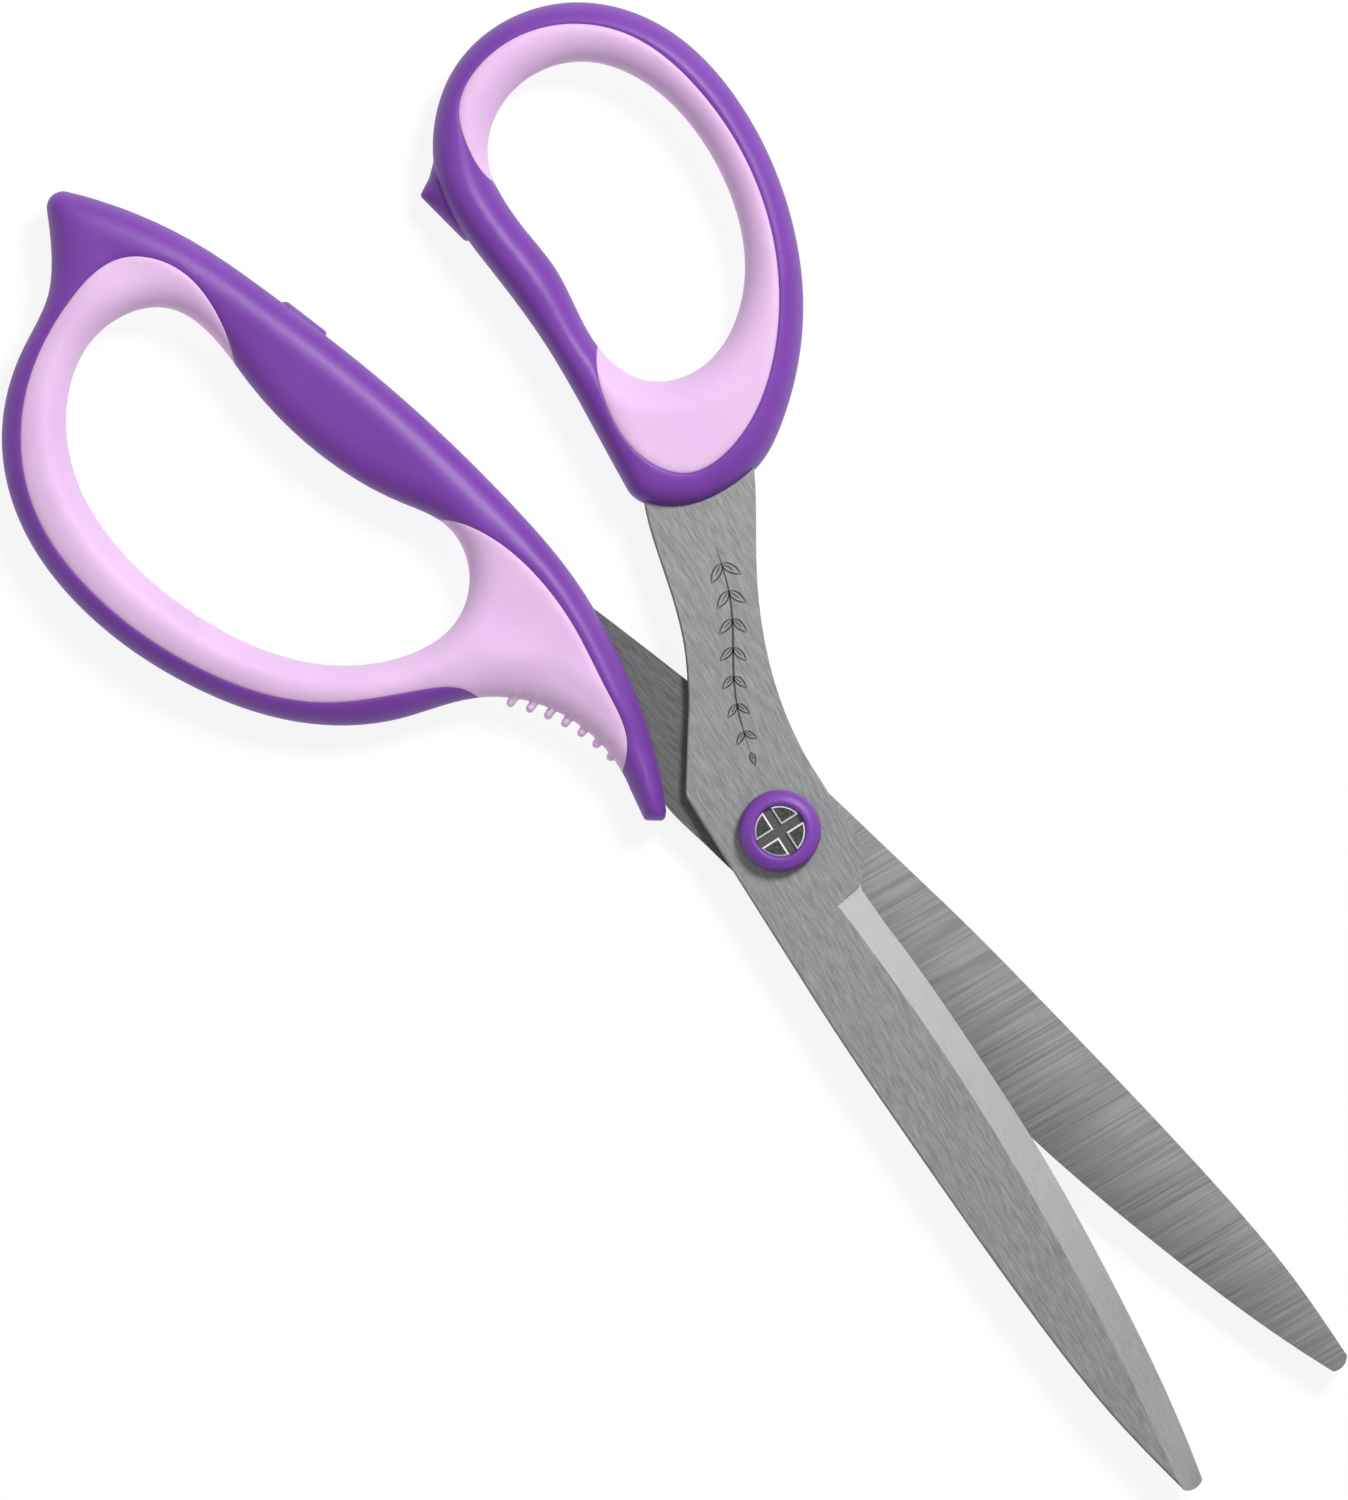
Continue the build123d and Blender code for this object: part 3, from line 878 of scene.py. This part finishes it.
def thumb_steel():
    """Upper blade: brushed lengthwise on its outer face and bevel, ground crosswise on its inner face."""
    n = Nodes("thumb_steel")
    flat, bevel = faces(n, 1)
    inner = brushed(n, REST_TURN + GROUND_TURN, GROUND, THUMB_INNER_SHADE)
    outer = brushed(n, REST_TURN + BRUSHED_TURN, BRUSHED, OUTER_SHADE)
    ground = brushed(n, REST_TURN + BEVEL_TURN, BRUSHED, BEVEL_SHADE, BEVEL_ROUGH)
    return steel_surface(n, [(1.0, *inner), (flat, *outer), (bevel, *ground)])


def finger_steel():
    """Lower blade: its inner face, which looks up, is ground crosswise and has painted shade towards its
    edge; the rest is brushed lengthwise, with painted shade on the tang.
    """
    n = Nodes("finger_steel")
    flat, bevel = faces(n, -1)
    light, height, rough = brushed(n, GROUND_TURN, GROUND, FINGER_INNER_SHADE)
    outer = brushed(n, BRUSHED_TURN, BRUSHED, OUTER_SHADE)
    tang_painted_shade = brushed(n, BRUSHED_TURN, BRUSHED, TANG_PAINTED_SHADE)
    ground = brushed(n, BEVEL_TURN, BRUSHED, BEVEL_SHADE, BEVEL_ROUGH)
    # Painted shade: the inner face's colour is darkened from the spine towards the edge
    y = n.add("ShaderNodeSeparateXYZ", {0: n.place()}).outputs["Y"]
    low, high = (corner.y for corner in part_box("finger_blade"))
    spine = n.math("DIVIDE", n.math("SUBTRACT", y, low), high - low)
    fall = n.ramp(spine, [(place, (share, share, share)) for place, share in (EDGE_PAINTED_SHADE, SPINE_PAINTED_SHADE)])
    inner = n.add("ShaderNodeVectorMath", {0: light, 1: fall}, operation="MULTIPLY").outputs[0], height, rough
    # Painted shade: the tang, behind the pivot, gets the darker grey
    x = n.add("ShaderNodeSeparateXYZ", {0: n.place()}).outputs["X"]
    tang = n.math("LESS_THAN", x, 0.0)
    return steel_surface(n, [(1.0, *inner), (tang, *tang_painted_shade), (flat, *outer), (bevel, *ground)])


def pivot_steel(name, top):
    """Steel of the screw or nut, painted by facing: dark mottled faces as painted reflection, lighter slots,
    and a painted highlight on the edges.
    """
    n = Nodes(name)
    spot = n.place()
    grain = n.noise(spot, SCREW_GRAIN, 4, 0.7)
    fine = n.noise(spot, SCREW_FINE, 3, 0.6)
    mottled = n.tone(grain, SCREW_FACE_PAINTED_DARK)
    slot = n.tone(fine, SCREW_SLOT)
    painted_highlight = n.tone(fine, SCREW_EDGE_PAINTED_HIGHLIGHT)
    normal = n.add("ShaderNodeTexCoord").outputs["Normal"]
    up = n.add("ShaderNodeSeparateXYZ", {0: normal}).outputs["Z"]
    level = n.add("ShaderNodeSeparateXYZ", {0: spot}).outputs["Z"]
    # Edges that face half up get the painted highlight: near-white colour and less metal
    edge = n.math("MULTIPLY", n.math("GREATER_THAN", up, 0.3), n.math("LESS_THAN", up, 0.9))
    deep = n.math("LESS_THAN", level, (top - SLOT_DEPTH) * MM)
    n.set("Base Color", n.blend(edge, n.blend(deep, mottled, slot), painted_highlight))
    n.set("Metallic", n.math("SUBTRACT", 1.0, n.math("MULTIPLY", edge, 0.85)))
    n.set("Roughness", n.scaled(grain, *SCREW_ROUGH))
    n.bump(grain, *SCREW_BUMP)
    return n.material


def etched_line():
    """Dark, matt floor of an etched line."""
    n = Nodes("etched_line")
    grain = n.noise(n.place(), ETCHED_GRAIN, 3, 0.6)
    n.set("Base Color", n.tone(grain, ETCHED))
    n.set("Roughness", n.scaled(grain, *ETCHED_ROUGH))
    n.bump(grain, *ETCHED_BUMP)
    return n.material


def floor_paper():
    """Plain pale backdrop."""
    n = Nodes("pale_floor")
    cloud = n.noise(n.place(), FLOOR_CLOUD, 2)
    n.set("Base Color", n.tone(cloud, FLOOR_PAPER))
    n.set("Roughness", 0.9)
    n.set("Specular IOR Level", 0.1)
    n.set("Emission Color", (1, 1, 1, 1))
    n.set("Emission Strength", 0.87)
    return n.material


# Handles. Rounding of a face from its outer edge and from its hole, in millimetres
FINGER_OUTER_ARC = 8.0
FINGER_HOLE_ARC = 5.0
THUMB_OUTER_ARC = 5.4
THUMB_HOLE_ARC = 6.5

# The finger bow's outer rounding changes by this much along its top bar, at its neck and at its ribs
TOP_ARC = -2.6
NECK_ARC = -0.6
RIBS_ARC = 4.0

# Its top bar has a crest near the edge and falls away from it, in shares of the thickness
FINGER_BASE = 0.93
FALL_SLOPE = 0.02
FALL_START, FALL_REACH = 5.0, 12
CREST_RISE = 0.07
CREST_PLACE, CREST_WIDTH = 2.0, 1.6

# Where the bow's top bar, neck and ribs start and where they are fully there, along x or y. The ribs also
# have a start along -x and along -y
TOP_Y = (-14, -4)
NECK_X = (-66, -45)
RIBS_X_FROM = (-48, -40)
RIBS_X_BACK = (16, 24)
RIBS_Y_DOWN = (2, 6)


def finger_shape(points, rims):
    """Thickness share of the finger bow: a ridge along the top bar, falling away to the hole, and a
    scoop at the ribs."""
    x, y = points.T
    outer, hole = (smooth_distance(points, rim) for rim in rims)
    top = eased(y, *TOP_Y)
    neck = top * eased(x, *NECK_X)
    ribs = eased(x, *RIBS_X_FROM) * eased(-x, *RIBS_X_BACK) * eased(-y, *RIBS_Y_DOWN)
    arc = FINGER_OUTER_ARC + TOP_ARC * top + NECK_ARC * neck + RIBS_ARC * ribs
    fall = FALL_SLOPE * top * np.clip(outer - FALL_START, 0, FALL_REACH)
    crest = CREST_RISE * neck * np.exp(-((outer - CREST_PLACE) / CREST_WIDTH) ** 2)
    return dome(outer, arc) * dome(hole, FINGER_HOLE_ARC) * (FINGER_BASE - fall + crest)


def thumb_shape(points, rims):
    """Thickness share of the thumb ring."""
    outer, hole = (smooth_distance(points, rim) for rim in rims)
    return dome(outer, THUMB_OUTER_ARC) * dome(hole, THUMB_HOLE_ARC)


purple = hard_plastic()
pink = soft_plastic()
finger_hard, finger_soft, finger_rims = handle_shells("finger_handle", "finger_grip", finger_shape)
thumb_hard, thumb_soft, thumb_rims = handle_shells("thumb_handle", "thumb_grip", thumb_shape)
piece("finger_handle_shell", finger_hard, purple, "finger_half", "hard_plastic", "finger_handle")
piece("finger_grip_skin", finger_soft, pink, "finger_half", "soft_grip", "finger_grip")
piece("thumb_handle_shell", thumb_hard, purple, "thumb_half", "hard_plastic", "thumb_handle")
piece("thumb_grip_skin", thumb_soft, pink, "thumb_half", "soft_grip", "thumb_grip")
finger_stop = stop_mesh("finger_handle", finger_rims, finger_shape, **FINGER_STOP)
thumb_stop = stop_mesh("thumb_handle", thumb_rims, thumb_shape, **THUMB_STOP)
piece("finger_stop_pad", finger_stop, purple, "finger_half", "hard_plastic")
piece("thumb_stop_wedge", thumb_stop, purple, "thumb_half", "hard_plastic")
collar = collar_mesh("pivot_collar", SCREW_RADIUS + SCREW_GAP)
piece("collar_dome", collar, purple, "finger_half", "hard_plastic", "pivot_collar")
piece("etched_sprig", sprig_mesh(), etched_line(), "thumb_half", "blade_steel")


def dress(node, material):
    """Give a CAD node its finish."""
    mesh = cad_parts[node].data
    mesh.materials.clear()
    mesh.materials.append(material)


dress("finger_blade", finger_steel())
dress("thumb_blade", thumb_steel())
dress("rear_collar", purple)
dress("pivot_screw", pivot_steel("screw_steel", SCREW_TOP))
dress("pivot_nut", pivot_steel("nut_steel", SCREW_TOP))


# Stage, light and camera, in metres and watts
FLOOR_REACH = 6.0
FLOOR_GAP = 0.0002
WORLD_LIGHT = 0.33
KEY = {"place": (-0.11, 0.73, 0.945), "size": 0.35, "power": 12.6}
FILL = {"place": (-0.5, -0.5, 0.9), "size": 0.8, "power": 0.9}


def stage_floor():
    """Large flat floor just below the part."""
    mesh = bpy.data.meshes.new("floor")
    corners = [(x * FLOOR_REACH, y * FLOOR_REACH, 0) for x, y in ((-1, -1), (1, -1), (1, 1), (-1, 1))]
    mesh.from_pydata(corners, [], [(0, 1, 2, 3)])
    floor = bpy.data.objects.new("floor", mesh)
    floor.location.z = CAD_LOW.z - FLOOR_GAP
    bpy.context.scene.collection.objects.link(floor)
    mesh.materials.append(floor_paper())


def area_light(name, place, size, power):
    """Round lamp that faces the pivot."""
    light = bpy.data.lights.new(name, "AREA")
    light.shape = "DISK"
    light.size = size
    light.energy = power
    lamp = bpy.data.objects.new(name, light)
    lamp.location = place
    lamp.rotation_euler = (-Vector(place)).to_track_quat("-Z", "Y").to_euler()
    bpy.context.scene.collection.objects.link(lamp)


def soft_world(strength):
    """Even white light from all round."""
    world = bpy.data.worlds.new("studio")
    world.use_nodes = True
    world.node_tree.nodes["Background"].inputs["Color"].default_value = (1, 1, 1, 1)
    world.node_tree.nodes["Background"].inputs["Strength"].default_value = strength
    bpy.context.scene.world = world


def camera():
    """Camera that looks straight down and frames the part as in the photograph."""
    data = bpy.data.cameras.new("camera")
    eye = bpy.data.objects.new("camera", data)
    eye.location = (VIEW_CENTRE.x, VIEW_CENTRE.y, CAMERA_HEIGHT)
    eye.rotation_euler = (0, 0, VIEW_ROLL)
    data.sensor_width = SENSOR
    data.lens = SENSOR * (CAMERA_HEIGHT - HANDLE_MID * MM) / VIEW_HEIGHT
    data.clip_start = 0.05
    data.clip_end = 50
    bpy.context.scene.collection.objects.link(eye)
    bpy.context.scene.camera = eye


stage_floor()
soft_world(WORLD_LIGHT)
area_light("key", **KEY)
area_light("fill", **FILL)
camera()
bpy.context.scene.view_settings.view_transform = "Standard"
